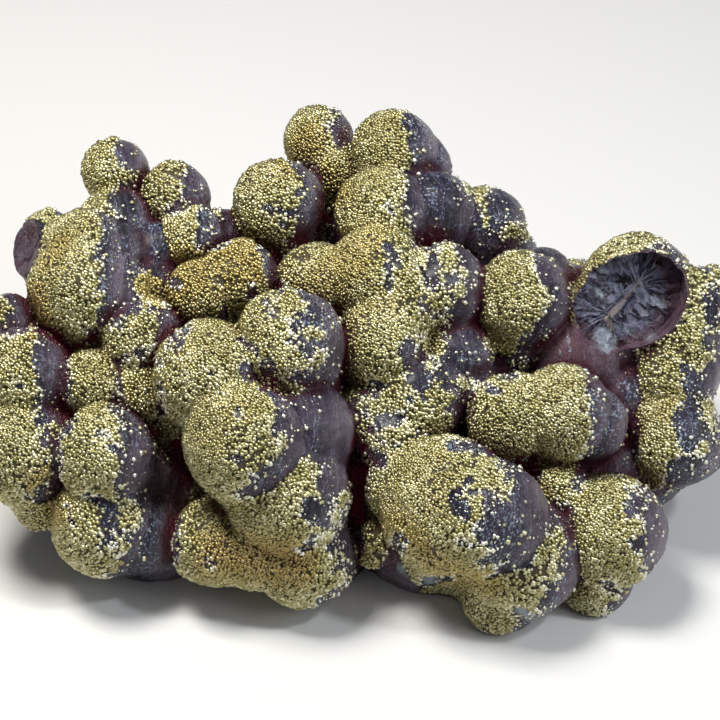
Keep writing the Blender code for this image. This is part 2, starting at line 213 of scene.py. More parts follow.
def nearField(points, near):
    # Distance to the fused surface of the near lobes, its outward direction, and the lobe
    blend = fluorite["creaseBlend"]
    fromLobe = points[:, None, :] - centres[near]
    reach = np.linalg.norm(fromLobe, axis=2)
    ballGap = reach - radii[near]
    ballOut = fromLobe / reach[..., None]
    run, root = stalkRuns[near], roots[near]
    along = ((points[:, None, :] - root) * run).sum(2) / stalkSquares[near]
    along = np.clip(along, 0.0, 1.0)
    fromStalk = points[:, None, :] - (root + along[..., None] * run)
    reach = np.linalg.norm(fromStalk, axis=2) + 1e-9
    share = fluorite["stalkRoot"] + (fluorite["stalkTop"] - fluorite["stalkRoot"]) * along
    stalkGap = reach - radii[near] * share
    stalkOut = fromStalk / reach[..., None]
    fromBlob = (points[:, None, :] - blobCentres) / blobSizes
    reach = np.linalg.norm(fromBlob, axis=2) + 1e-9
    blobGap = (reach - 1.0) * blobSizes.min(1)
    blobOut = fromBlob / blobSizes
    blobOut /= lengths(blobOut) + 1e-9
    gaps = np.concatenate([ballGap, stalkGap, blobGap], axis=1)
    outs = np.concatenate([ballOut, stalkOut, blobOut], axis=1)
    least = gaps.min(1, keepdims=True)
    weights = np.exp(-(gaps - least) / blend)
    total = weights.sum(1)
    distance = least[:, 0] - blend * np.log(total)
    direction = (weights[..., None] * outs).sum(1) / total[:, None]
    return distance, direction, near[ballGap.argmin(1)]


def fieldAt(points):
    # The same for many points: sorted into cells, each with the few lobes that are near it
    cell, batch = 11.0, 4000
    ids = np.floor(points / cell).astype(int)
    keys, which = np.unique(ids, axis=0, return_inverse=True)
    order = np.argsort(which.ravel(), kind="stable")
    ends = np.cumsum(np.bincount(which.ravel(), minlength=len(keys)))
    distance, owner = np.empty(len(points)), np.empty(len(points), int)
    direction = np.empty((len(points), 3))
    for key, first, last in zip(keys, np.concatenate([[0], ends[:-1]]), ends):
        middle = (key + 0.5) * cell
        ball = np.linalg.norm(middle - centres, axis=1) - radii
        along = np.clip(((middle - roots) * stalkRuns).sum(1) / stalkSquares, 0.0, 1.0)
        stalk = np.linalg.norm(middle - (roots + along[:, None] * stalkRuns), axis=1) - radii
        bound = np.minimum(ball, stalk)
        # the cell's corners are 1.73 cells apart, and beyond 4 mm a lobe no longer counts
        near = np.flatnonzero(bound < bound.min() + cell * 1.75 + 4.0)
        for at in range(first, last, batch):
            rows = order[at : min(at + batch, last)]
            distance[rows], direction[rows], owner[rows] = nearField(points[rows], near)
    return distance, direction, owner


def noiseAt(points, size, seed=0.0, detail=2):
    # Smooth noise, about -1 to 1, with swellings of this size in mm
    shift = Vector((seed * 17.3, seed * 5.1, seed * 9.7))
    return np.array(
        [noise.fractal(Vector(p) / size + shift, 1.0, 2.0, detail) for p in points.tolist()]
    )


def meshFrom(name, points, corners, sizes, unit=mm):
    # A mesh from arrays: points, the corners of all faces in a row, and each face's count
    mesh = bpy.data.meshes.new(name)
    mesh.vertices.add(len(points))
    mesh.vertices.foreach_set("co", (points * unit).astype(np.float32).ravel())
    mesh.loops.add(len(corners))
    mesh.loops.foreach_set("vertex_index", corners.astype(np.int32))
    mesh.polygons.add(len(sizes))
    starts = np.concatenate([[0], np.cumsum(sizes)[:-1]])
    mesh.polygons.foreach_set("loop_start", starts.astype(np.int32))
    mesh.update(calc_edges=True)
    return mesh


def paint(mesh, name, values):
    # A named value at each point, that a material can read
    layer = mesh.attributes.new(name, "FLOAT", "POINT")
    layer.data.foreach_set("value", np.asarray(values, np.float32))


def added(name, data):
    # A new object in the scene
    made = bpy.data.objects.new(name, data)
    bpy.context.scene.collection.objects.link(made)
    return made


def finished(shown):
    # The mesh that an object's modifiers make of it, in its place
    graph = bpy.context.evaluated_depsgraph_get()
    made = bpy.data.meshes.new_from_object(shown.evaluated_get(graph))
    bpy.data.objects.remove(shown)
    return made


def treeOf(mesh, unit=1.0):
    # For the nearest place on a mesh
    faces = [tuple(p.vertices) for p in mesh.polygons]
    return BVHTree.FromPolygons([v.co / unit for v in mesh.vertices], faces)


def rise(values, low, high):
    # 0 below low, 1 above high, smooth between
    share = np.clip((values - low) / (high - low), 0.0, 1.0)
    return share * share * (3 - 2 * share)


def roughSkin():
    # Balls, stalks and root blobs run together by a voxel remesh
    bm = bmesh.new()
    for centre, radius, root, run in zip(centres, radii, roots, stalkRuns):
        place = Matrix.Translation(centre)
        bmesh.ops.create_icosphere(bm, subdivisions=3, radius=radius, matrix=place)
        lean = Vector(run).to_track_quat("Z", "Y").to_matrix().to_4x4()
        bmesh.ops.create_cone(
            bm, cap_ends=True, segments=24, depth=float(np.linalg.norm(run)),
            radius1=radius * fluorite["stalkRoot"], radius2=radius * fluorite["stalkTop"],
            matrix=Matrix.Translation((centre + root) / 2) @ lean,
        )
    for x, y, radius, height in bodyBlobs:
        place = Matrix.Translation((x, y, 0)) @ Matrix.Diagonal((1, 1, height / radius, 1))
        bmesh.ops.create_icosphere(bm, subdivisions=4, radius=radius, matrix=place)
    mesh = bpy.data.meshes.new("roughSkin")
    bm.to_mesh(mesh)
    bm.free()
    rough = added("roughSkin", mesh)
    remesh = rough.modifiers.new("Remesh", "REMESH")
    remesh.mode = "VOXEL"
    remesh.voxel_size = fluorite["voxel"]
    return finished(rough)


def cutBelow(mesh, height):
    # Takes away everything under a level
    bm = bmesh.new()
    bm.from_mesh(mesh)
    cut = bmesh.ops.bisect_plane(
        bm, geom=list(bm.verts) + list(bm.edges) + list(bm.faces), dist=0.02,
        plane_co=(0, 0, height), plane_no=(0, 0, 1), clear_inner=True,
    )
    rim = [g for g in cut["geom_cut"] if isinstance(g, bmesh.types.BMEdge)]
    bmesh.ops.edgenet_fill(bm, edges=rim)
    bmesh.ops.triangulate(bm, faces=[f for f in bm.faces if len(f.verts) > 4])
    bm.to_mesh(mesh)
    bm.free()


def setPoints(mesh, points):
    mesh.vertices.foreach_set("co", points.astype(np.float32).ravel())
    mesh.update()


def rawPoints(mesh):
    found = np.empty(len(mesh.vertices) * 3, np.float32)
    mesh.vertices.foreach_get("co", found)
    return found.reshape(-1, 3).astype(float)


def breakPlug(middle, facing, along, size, root, bladed, hollow):
    # What has broken off: an oval plug, its inner end cleaved in blades that spread from a root
    up = alongFace(facing)
    across = np.cross(up, alongFace(along))
    across /= np.linalg.norm(across)
    axes = np.array([np.cross(across, up), across, up])
    rings, steps = fluorite["breakRings"], fluorite["breakSteps"]
    places = []
    for ring in range(rings + 1):
        for step in range(steps if ring else 1):
            turn = 2 * math.pi * step / steps
            # its rim is a little ragged
            ragged = 1.0 + 0.05 * noise.noise(Vector((math.cos(turn), math.sin(turn), 0)) * 4)
            share = ring / rings * 0.5 * ragged
            x, y = size[0] * share * math.cos(turn), size[1] * share * math.sin(turn)
            bowl = hollow * (1.0 - (ring / rings) ** 2)
            places.append((x, y, bladeHeight(x, y, root) * bladed - bowl))
    far = len(places)
    top = fluorite["plugHeight"]
    places += [(x, y, top) for x, y, _ in places[far - steps :]] + [(0.0, 0.0, top)]
    corners = []
    for step in range(steps):
        after = (step + 1) % steps
        corners.append((0, 1 + after, 1 + step))
        for ring in range(rings):
            inner = 1 + ring * steps
            outer = inner + steps
            corners.append((inner + step, inner + after, outer + after))
            corners.append((inner + step, outer + after, outer + step))
        corners.append((far + steps, far + step, far + after))
    points = np.array(places) @ axes + fromFace(middle)
    return meshFrom("plug", points, np.array(corners).ravel(), np.full(len(corners), 3), 1.0)


def bladeHeight(x, y, root):
    # Height of the cleavage blades that spread from the root line of a break
    run = (root[2] - root[0], root[3] - root[1])
    share = ((x - root[0]) * run[0] + (y - root[1]) * run[1]) / (run[0] ** 2 + run[1] ** 2)
    share = min(max(share, 0.0), 1.0)
    x, y = x - root[0] - share * run[0], y - root[1] - share * run[1]
    fullTurn, far, turn = 6.2832, math.hypot(x, y), math.atan2(y, x) + share * 0.9
    sway = noise.noise(Vector((x, y, 3.0)) / 3.0) * 0.35
    blades = fluorite["blades"]
    spot = Vector((turn * blades / fullTurn + sway, far / fluorite["bladeLength"], 2.0))
    nearest = noise.voronoi(spot)[1][0]
    offset = (spot.x - nearest.x) * fullTurn / blades * min(far, fluorite["bladeSpread"])
    tilt = noise.noise(nearest * 3.7 + Vector((0.4, 0.2, 0.7))) * 2.0
    step = noise.noise(nearest * 5.3 + Vector((0.1, 0.6, 0.3)))
    return offset * tilt * fluorite["bladeTilt"] + step * fluorite["bladeStep"]


def breakOff(mesh):
    # Takes the broken pieces off, and gives the trees of the broken faces
    whole = added("wholeSkin", mesh)
    plugs, trees = [], []
    for values in breaks.values():
        plugMesh = breakPlug(**values)
        plugs.append(added("plug", plugMesh))
        cut = whole.modifiers.new("Break", "BOOLEAN")
        cut.operation, cut.object, cut.solver = "DIFFERENCE", plugs[-1], "MANIFOLD"
        trees.append(treeOf(plugMesh))
    made = finished(whole)
    for plug in plugs:
        bpy.data.objects.remove(plug)
    return made, trees


def brokenAt(points, trees):
    # 1 for points on the broken faces
    found = np.zeros(len(points))
    for values, tree in zip(breaks.values(), trees):
        reach = values["size"][0] * 0.7
        close = np.linalg.norm(points - fromFace(values["middle"]), axis=1) < reach
        for row in np.flatnonzero(close):
            found[row] = tree.find_nearest(Vector(points[row]), 0.05)[0] is not None
    return found


def buildFluorite():
    mesh = roughSkin()
    cutBelow(mesh, -2.0)
    say("rough skin of %d faces" % len(mesh.polygons))
    points = rawPoints(mesh)
    for _ in range(3):  # steps towards the fused surface
        distance, direction, owner = fieldAt(points)
        slope = (direction ** 2).sum(1, keepdims=True)
        step = np.clip(distance, -1.2, 12.0)[:, None] * direction / np.maximum(slope, 0.25)
        points = points - step
    distance, direction, owner = fieldAt(points)
    outward = direction / lengths(direction)
    say("skin drawn to the lobes")

    # Relief: broad swellings, growth wrinkles and ledges round each lobe
    tall, size = fluorite["swell"]
    swell = noiseAt(points, size, 1.0)
    height = tall * swell
    tall, size = fluorite["wrinkle"]
    height += tall * (1.0 - 2.0 * np.abs(noiseAt(points, size, 2.0, 3))) * 0.5
    tall, size = fluorite["ledge"]
    level = ((points - centres[owner]) @ alongFace((0.5, 0.75, 0.4))) / size
    ledge = np.abs(((level + noiseAt(points, 6.0, 3.0) * 0.9) % 1.0) - 0.5) * 2
    height += tall * (ledge - 0.5) * rise(swell, -0.2, 0.5)
    setPoints(mesh, points + outward * height[:, None])
    cutBelow(mesh, 0.0)
    say("relief and flat cut")
    mesh, trees = breakOff(mesh)
    say("breaks")
    return thinned(mesh), trees


def trianglesOf(mesh):
    return sum(len(face.vertices) - 2 for face in mesh.polygons)


def thinned(mesh):
    # Fewer triangles, the most where the skin bends most, and no flap left over
    triangles = trianglesOf(mesh)
    thick = added("thickSkin", mesh)
    decimate = thick.modifiers.new("Decimate", "DECIMATE")
    decimate.ratio = fluorite["triangles"] / triangles
    made = finished(thick)
    bm = bmesh.new()
    bm.from_mesh(made)
    flaps = {face for edge in bm.edges if edge.is_boundary for face in edge.link_faces}
    bmesh.ops.delete(bm, geom=list(flaps), context="FACES")
    bm.to_mesh(made)
    bm.free()
    say("thinned from %d triangles" % triangles)
    return made


def finishSkin(mesh, trees):
    # What the materials and the pyrite read at each point of the skin
    points = rawPoints(mesh)
    distance, direction, owner = fieldAt(points)
    outward = direction / (lengths(direction) + 1e-9)
    # how shut in each point is by the lobes round it, which the materials darken as painted shade
    hidden = np.zeros(len(points))
    for step, share in fluorite["probes"]:
        gap, _, _ = fieldAt(points + outward * step)
        hidden += share * np.clip(1.0 - gap / step, 0.0, 1.0)
    broken = brokenAt(points, trees)
    hidden *= 1.0 - broken
    paint(mesh, "broken", broken)
    fromCentre = points - centres[owner]
    paint(mesh, "crevice", hidden)
    inRadii = fromCentre / radii[owner][:, None]
    # how far each point lies towards the side where paler rim light is painted
    paint(mesh, "away", inRadii @ alongFace(fluorite["rimLightSide"]))
    paint(mesh, "level", fromCentre @ alongFace(pyrite["deposit"]))
    onFace = toFace(points)
    glow = np.zeros(len(points))
    for across, up, radius, share in glowMarks:
        far = np.hypot(onFace[:, 0] - across, onFace[:, 1] - up)
        glow = np.maximum(glow, share * (1.0 - rise(far, radius * 0.4, radius)))
    paint(mesh, "glow", glow * rise(onFace[:, 2], -22.0, -12.0))  # not on the far side
    seen, viewed = seenFrom(points), outward @ alongFace((0, 0, 1)) > 0.0
    for name, marks, blur in (("pale", paleMarks, 0.5), ("vein", veinMarks, 0.25)):
        share = np.zeros(len(points))
        for row in marks:
            share = np.maximum(share, 1.0 - rise(offMark(seen, row), -blur, blur))
        paint(mesh, name, share * viewed)
    inside = coverAt(points, owner, outward)
    inside[broken > 0] = -3.0  # far from any pyrite
    paint(mesh, "crusted", rise(inside, -0.02, 0.06))
    return points, outward, hidden, inside, broken


class Wire:
    # A socket in a material's node tree that can be used in arithmetic
    def __init__(self, tree, socket=None):
        self.tree = tree
        self.socket = socket

    def node(self, kind, values=None, settings=None, output=0):
        made = self.tree.nodes.new(kind)
        for name, value in (settings or {}).items():
            setattr(made, name, value)
        for name, value in (values or {}).items():
            if isinstance(value, Wire):
                self.tree.links.new(value.socket, made.inputs[name])
            else:
                made.inputs[name].default_value = value
        return Wire(self.tree, made.outputs[output])

    def math(self, operation, first, second=0.0, clamp=False):
        # The sockets' numbers stand for the two values
        settings = {"operation": operation, "use_clamp": clamp}
        return self.node("ShaderNodeMath", {0: first, 1: second}, settings)

    def __add__(self, other):
        return self.math("ADD", self, other)

    def __radd__(self, other):
        return self.math("ADD", other, self)

    def __sub__(self, other):
        return self.math("SUBTRACT", self, other)

    def __rsub__(self, other):
        return self.math("SUBTRACT", other, self)

    def __mul__(self, other):
        return self.math("MULTIPLY", self, other)

    def __rmul__(self, other):
        return self.math("MULTIPLY", other, self)

    def __truediv__(self, other):
        return self.math("DIVIDE", self, other)

    def size(self):
        return self.math("ABSOLUTE", self)

    def clear(self):
        return self.math("ADD", self, 0.0, clamp=True)

    def rise(self, low, high):
        values = {"Value": self, "From Min": low, "From Max": high}
        return self.node("ShaderNodeMapRange", values, {"interpolation_type": "SMOOTHSTEP"})

    def attribute(self, name):
        return self.node("ShaderNodeAttribute", None, {"attribute_name": name}, "Fac")

    def place(self):
        return self.node("ShaderNodeTexCoord", None, None, "Object")

    def vector(self, operation, other, output=0):
        settings = {"operation": operation}
        return self.node("ShaderNodeVectorMath", {0: self, 1: other}, settings, output)

    def scaled(self, by):
        return self.node("ShaderNodeVectorMath", {0: self, "Scale": by}, {"operation": "SCALE"})

    def cloud(self, scale, detail=3.0, rough=0.55, warp=0.0):
        values = {"Vector": self, "Scale": scale, "Detail": detail}
        values.update({"Roughness": rough, "Distortion": warp})
        return self.node("ShaderNodeTexNoise", values)

    def line(self, detail, rough):
        # Noise along one number
        values = {"W": self, "Scale": 1.0, "Detail": detail, "Roughness": rough}
        return self.node("ShaderNodeTexNoise", values, {"noise_dimensions": "1D"})

    def cells(self, scale):
        # A colour of its own for each cell
        values = {"Vector": self, "Scale": scale}
        return self.node("ShaderNodeTexVoronoi", values, None, "Color")

    def tint(self, share, other):
        # This colour turned towards another one by a share
        values = {0: share, 6: self, 7: other}
        return self.node("ShaderNodeMix", values, {"data_type": "RGBA"}, 2)

    def colour(self, red, green, blue):
        made = self.tree.nodes.new("ShaderNodeRGB")
        made.outputs[0].default_value = (red, green, blue, 1.0)
        return Wire(self.tree, made.outputs[0])

    def bump(self, height, distance, strength=1.0, under=None):
        values = {"Height": height, "Distance": distance, "Strength": strength}
        if under:
            values["Normal"] = under
        return self.node("ShaderNodeBump", values)


def newMaterial(name):
    made = bpy.data.materials.new(name)
    made.use_nodes = True
    tree = made.node_tree
    shader = tree.nodes["Principled BSDF"]
    return made, Wire(tree), shader


def feed(wire, shader, values):
    # Wires or plain values into the shader's own sockets
    for name, value in values.items():
        if isinstance(value, Wire):
            wire.tree.links.new(value.socket, shader.inputs[name])
        else:
            shader.inputs[name].default_value = value


fluoriteLook = {
    "deep": (0.010, 0.0075, 0.018),     # dark slate of the bare lobes
    "slate": (0.045, 0.039, 0.076),     # its paler grey-blue
    "mauve": (0.074, 0.052, 0.080),     # and grey-purple
    "lilac": (0.235, 0.180, 0.220),     # pale lilac: painted light through the thin edges, and the zones of the break
    "maroon": (0.058, 0.005, 0.013),    # painted shade in the creases, dark red
    "wine": (0.092, 0.036, 0.052),      # and painted reddish light beside them
    "paintedCreaseGlow": (0.008, 0.0006, 0.0012),  # a faint painted red glow in the deepest creases, given out as emission
    "plum": (0.120, 0.055, 0.074),      # clearer reddish parts
    "fracture": (0.205, 0.210, 0.300),
    "haze": (0.105, 0.098, 0.165),
    "powder": (0.105, 0.082, 0.036),    # fine dark pyrite between the crystals
    "vein": (0.36, 0.31, 0.28),
    "pale": (0.42, 0.47, 0.54),
    "glint": (0.36, 0.44, 0.56),
}

# Clearer, reddish parts of the fluorite: across, up, radius in mm, and how strong
glowMarks = [
    (54, 1, 11, 1), (62, -2, 8, 0.9), (76, 8.5, 5, 0.6), (10, -53, 9, 0.8), (-46, -27, 8, 0.7),
    (-9, -55, 6, 0.4), (-52, 47, 5, 0.6), (66, -22, 8, 0.5), (-30, -5, 4, 0.3),
]

# Pale clear crystals and the vein on the broken lobe, as stretches like the marks of the cover
paleMarks = [
    (60.5, 6, 62, 5, 2), (61, 3.5, 61.6, 3, 1.2), (71.5, 5.8, 74.5, 6, 0.5),
    (59.5, 17.3, 60.6, 15.6, 0.5), (69.3, 20.6, 70.8, 18.2, 0.3), (73.5, 15.5, 75.5, 13.5, 0.7),
    (10.5, -52, 19, -55.5, 1.2), (40, -62.5, 43.5, -65, 1),
]
veinMarks = [
    (69.3, 19, 64.8, 13.4, 0.3), (64.8, 13.4, 61.8, 10.5, 0.7), (61.8, 10.5, 63, 7.8, 0.6),
    (69.3, 19, 69, 21, 0.2),
]

# The broken lobe: from where to where its streaks spread, and the middle of its face
fracture = {"root": (69.2, 18.9, -1.4), "end": (62.6, 11.6, -1.4), "middle": (64.5, 17.5, -1.4)}


def fluoriteMaterial():
    made, wire, shader = newMaterial("purpleFluorite")
    place = wire.place()
    names = ("broken", "crevice", "away", "glow", "pale", "vein", "crusted", "level")
    broken, crevice, away, glow, pale, vein, crusted, level = map(wire.attribute, names)
    broad = place.cloud(110.0, 4.0, 0.6, 0.4)
    fine = place.cloud(900.0, 5.0, 0.65, 0.6)
    third = (0.33, 0.33, 0.34)  # of each channel of a cell's colour, for one value from it
    smallCells = place.cells(2300.0)
    largeCells = place.cells(1050.0)
    grain = smallCells.vector("DOT_PRODUCT", third, "Value")

    # fine wrinkles run round each lobe, square to the side that the pyrite came from
    ring = (level * 1.15 + broad * 5.0 + fine * 1.3).line(3.0, 0.7)
    wrinkles = ring.rise(0.3, 0.7) + (1.0 - (fine * 2.0 - 1.0).size() * 2.5) * 0.5

    # streaks spread from the root of the broken lobe, and zones run round its middle
    root, end, middle = (Vector(fromFace(spot)) * mm for spot in fracture.values())
    line = end - root
    fromRoot = place.vector("SUBTRACT", root)
    share = (fromRoot.vector("DOT_PRODUCT", line, "Value") / line.length_squared).clear()
    onLine = wire.node("ShaderNodeVectorMath", {0: line, "Scale": share}, {"operation": "SCALE"})
    ray = fromRoot.vector("SUBTRACT", onLine)
    spread = ray.vector("NORMALIZE", (0, 0, 0)).vector("ADD", place.scaled(28.0))
    streaks = spread.cloud(5.0, 3.0, 0.6, 0.25)
    zone = place.vector("DISTANCE", root, "Value") * 1000.0
    zones = (zone * 0.9 + fine * 0.8).line(2.0, 0.5)

    look = {name: wire.colour(*value) for name, value in fluoriteLook.items()}
    skin = look["deep"].tint((broad * 2.2 - 0.66 + (grain - 0.5) * 0.6).clear(), look["slate"])
    region = place.cloud(38.0, 2.0, 0.5)
    skin = skin.tint(region.rise(0.46, 0.60) * broad.rise(0.30, 0.55) * 0.8, look["mauve"])
    skin = skin.tint((ring.rise(0.50, 0.66) * (0.25 + broad * 0.7)).clear(), look["haze"])
    skin = skin.tint(ring.rise(0.46, 0.34) * 0.6, look["deep"])
    skin = skin.tint((glow * (0.5 + broad * 0.8)).clear(), look["plum"])
    # painted rim light: the lobes' sides that face right turn paler lilac, less so in the creases
    rim = away.rise(0.15, 0.9) * (0.3 + broad.rise(0.30, 0.60) * 0.6)
    skin = skin.tint(rim * (1.0 - crevice.rise(0.15, 0.5) * 0.7), look["lilac"])
    reddish = region.rise(0.40, 0.55)
    # painted reddish light beside the creases
    skin = skin.tint(crevice.rise(0.12, 0.42) * (0.35 + reddish * 0.45), look["wine"])
    # painted glints: pale specks, and pale crests of the wrinkles, in the skin's colour, away from
    # the creases
    glints = grain.rise(0.645, 0.69) * (1.0 - crevice.rise(0.15, 0.45)) * broad.rise(0.40, 0.56)
    glints = glints * (1.0 - glow * 0.8) * region.rise(0.62, 0.42)
    skin = skin.tint(glints * 0.75, look["glint"])
    crestGlints = wrinkles.rise(1.05, 1.45) * grain.rise(0.50, 0.58) * (1.0 - crevice.rise(0.2, 0.5))
    skin = skin.tint(crestGlints * 0.5, look["glint"])
    # painted shade: the creases turn dark maroon
    skin = skin.tint(crevice.rise(0.32, 0.66) * (0.7 + reddish * 0.3), look["maroon"])
    skin = skin.tint(crusted * 0.9, look["powder"])
    blades = spread.cells(8.0).vector("DOT_PRODUCT", third, "Value")
    fractured = look["deep"].tint((streaks + blades * 1.2).rise(0.85, 1.30), look["fracture"])
    fractured = fractured.tint(zones.rise(0.50, 0.70) * zone.rise(6.0, 9.0) * 0.5, look["lilac"])
    bright = blades.rise(0.62, 0.75) * streaks.rise(0.40, 0.60)
    fractured = fractured.tint(bright * 0.6, look["pale"])
    edge = place.vector("DISTANCE", middle, "Value") * 1000.0
    fractured = fractured.tint(edge.rise(10.5, 13.5) * edge.rise(60.0, 25.0) * 0.8, look["plum"])
    fractured = fractured.tint(edge.rise(60.0, 90.0) * 0.65, look["maroon"])
    fractured = fractured.tint((vein * (0.55 + fine * 0.9)).clear(), look["vein"])
    skin = skin.tint(broken, fractured)
    skin = skin.tint((pale * (0.4 + fine * 1.1)).clear(), look["pale"])

    # small flat crystal faces, each tilted its own way, make the bare skin glint
    facing = wire.node("ShaderNodeNewGeometry", None, None, "Normal")
    small, large = (cells.vector("SUBTRACT", (0.5,) * 3) for cells in (smallCells, largeCells))
    facing = facing.vector("ADD", small.scaled(0.8)).vector("ADD", large.scaled(0.5))
    facing = facing.vector("NORMALIZE", (0, 0, 0))
    bumps = wire.bump(wrinkles, 0.0009, 0.8, facing)
    bumps = wire.bump(streaks * broken, 0.0012, 0.45, bumps)
    # painted glow: a faint red emission in the deepest creases
    paintedCreaseGlow = look["paintedCreaseGlow"].scaled(crevice.rise(0.42, 0.85) * reddish)
    feed(wire, shader, {
        "Base Color": skin,
        "Roughness": 0.07 + fine * 0.22 + crusted * 0.4,
        "IOR": 1.434,
        "Subsurface Weight": 0.3,
        "Subsurface Radius": (0.0030, 0.0013, 0.0026),
        "Subsurface Scale": 1.0,
        "Coat Weight": 0.35 - crevice * 0.35,
        "Coat Roughness": 0.35,
        "Coat IOR": 1.434,
        "Emission Color": paintedCreaseGlow,
        "Emission Strength": 1.0,
        "Normal": bumps,
    })
    return made


pyriteLook = {
    "creamGlint": (0.92, 0.90, 0.79),
    "pale": (0.76, 0.725, 0.47),
    "brass": (0.37, 0.335, 0.150),
    "gold": (0.46, 0.36, 0.13),
    "bronze": (0.34, 0.21, 0.08),
    "tarnishAndShade": (0.20, 0.155, 0.070),
}

# Where the pyrite is warmer and browner, partly its own tint and partly painted shade on the lower,
# shadowed parts, as stretches like the marks of the cover, and how warm it is
warmAndShadeMarks = [
    (-82, 16, -79, 7, 2.5, 1), (-80, 24, -74, 30, 3, 0.4), (-36, -48, -16, -51, 6, 0.7),
    (8, -40, 22, -53, 4, 0.45), (-80, -30, -76, -38, 4, 0.5), (-16, 50, -12, 56, 4, 0.6),
    (-50, 20, -30, 24, 8, 0.5), (25, -54, 34, -57, 3, 0.5), (-10, 46, -6, 42, 4, 0.55),
    (-10, 18, 2, 30, 6, 0.35),
]


def pyriteMaterial():
    made, wire, shader = newMaterial("brassyPyrite")
    place = wire.place()
    tone, depth, warmAndShade = map(wire.attribute, ("tone", "depth", "warmAndShade"))
    look = {name: wire.colour(*value) for name, value in pyriteLook.items()}
    speckle = place.cloud(2600.0, 3.0, 0.6)
    metal = look["brass"].tint(tone.rise(0.1, 0.95), look["pale"])
    # warmer gold and bronze: partly the pyrite's own tint, partly painted shade
    metal = metal.tint(warmAndShade.rise(0.0, 0.5) * 0.7, look["gold"])
    metal = metal.tint(warmAndShade.rise(0.4, 1.0) * 0.8, look["bronze"])
    # the lone crystals on bare fluorite go cream-white: a paler tone and a painted glint
    metal = metal.tint(tone.rise(0.85, 1.25), look["creamGlint"])
    # painted shade: darker down the creases and towards each crystal's foot, with a little random
    # tarnish
    shadeAndTarnish = (depth.rise(0.2, 0.75) * 0.8 + (speckle - 0.5) * 0.35).clear()
    metal = metal.tint(shadeAndTarnish, look["tarnishAndShade"])
    pits = place.cloud(3800.0, 3.0, 0.6)
    feed(wire, shader, {
        "Base Color": metal,
        "Metallic": 1.0,
        "Roughness": 0.35 + speckle * 0.18,
        "Normal": wire.bump(pits, 0.00005, 0.6),
    })
    return made


pyrite = {
    "deposit": (-0.84, 0.10, 0.53),  # the side that it settled from: across, up, out
    "size": (0.34, 0.50),            # mm, half-widths of the crystals of the crust
    "rimSize": (0.42, 0.68),         # mm, those near its rims
    "straySize": (0.16, 0.62),       # mm, those on bare fluorite
    "spacing": 1.10,                 # least distance between two, in half-widths
    "sunk": 0.40,                    # of the half-width that lies in the fluorite
    "forms": (0.32, 0.56, 0.12),     # shares of cut cubes, cubes and eight-faced crystals
    "rimBreak": 0.24,                # how ragged the rim of the cover is
    "markBreak": 0.10,               # the same where the cover is marked
    "markSlope": 9.0,                # mm for the cover to rise by 1 within a mark
    "strays": 0.016,                 # how many lie on bare fluorite
    "tries": 16,                     # places tried for each square mm of the cover
    "aboveCut": 1.3,                 # mm, the lowest place of a crystal
    "gaps": 0.50,                    # the lower it is, the more small gaps the cover has
    "join": 1.6,                     # mm from a crust that a crystal still belongs to
    "behind": -14.0,                 # mm out of the display face, where the far side starts
    "seed": 11,
}


# Crystal forms of the pyrite, as points of a unit size and faces
def cubeForm():
    points = [(x, y, z) for x in (-1, 1) for y in (-1, 1) for z in (-1, 1)]
    return hullForm(np.array(points) * 0.82)


def cutCubeForm():
    # A cube with its corners cut off at the middles of its edges, standing on a cut corner
    points = []
    for a, b in ((0, 1), (0, 2), (1, 2)):
        for one in (-1, 1):
            for two in (-1, 1):
                point = [0.0, 0.0, 0.0]
                point[a], point[b] = one, two
                points.append(point)
    up = np.ones(3) / math.sqrt(3)
    side = np.array([1.0, -1.0, 0.0]) / math.sqrt(2)
    return hullForm(np.array(points) @ np.array([side, np.cross(up, side), up]).T * 0.75)


def eightFaceForm():
    points = [np.roll((sign * 1.2, 0.0, 0.0), axis) for axis in range(3) for sign in (-1, 1)]
    return hullForm(np.array(points))


def hullForm(points):
    bm = bmesh.new()
    verts = [bm.verts.new(p) for p in points]
    bmesh.ops.convex_hull(bm, input=verts)
    bmesh.ops.dissolve_limit(bm, angle_limit=0.02, verts=bm.verts, edges=bm.edges)
    bm.verts.index_update()
    bm.normal_update()
    found = np.array([v.co for v in bm.verts])
    faces = [tuple(v.index for v in f.verts) for f in bm.faces]
    bm.free()
    return found, faces


